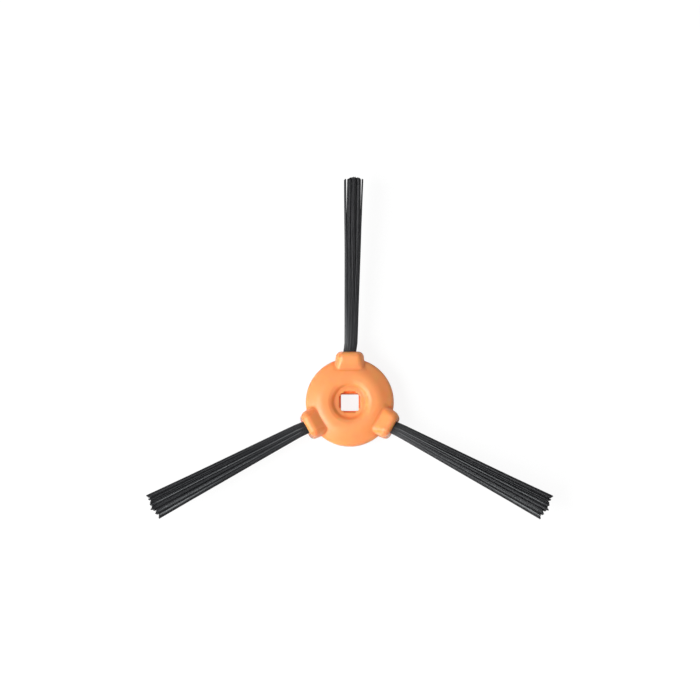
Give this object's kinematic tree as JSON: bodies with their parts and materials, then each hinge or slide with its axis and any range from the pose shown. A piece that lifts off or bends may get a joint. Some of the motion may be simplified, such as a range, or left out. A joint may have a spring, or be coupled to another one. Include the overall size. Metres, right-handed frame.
{
  "type": "robot vacuum side brush",
  "caption": "Sweeping brush: a moulded hub with a square drive hole and radial sockets, each holding a fanned tuft of long stiff bristles.",
  "frame": {"origin": "on the hub's axis at the end of the drive boss, where the drive shaft enters and on which the loose brush rests", "axes": "+Z along the hub's axis to the domed side that faces the floor in use; +Y along the top arm"},
  "size_m": [0.1293, 0.1084, 0.0141],
  "materials": {
    "hub_plastic": "moulded, satin gloss",
    "bristle": "drawn filament, slight sheen",
    "anchor_wire": "drawn flat wire"
  },
  "bodies": {
    "root": {"hub": "hub_plastic", "tuft_top": "bristle", "tuft_left": "bristle", "tuft_right": "bristle", "anchor_top": "anchor_wire", "anchor_left": "anchor_wire", "anchor_right": "anchor_wire"}
  },
  "joints": []
}
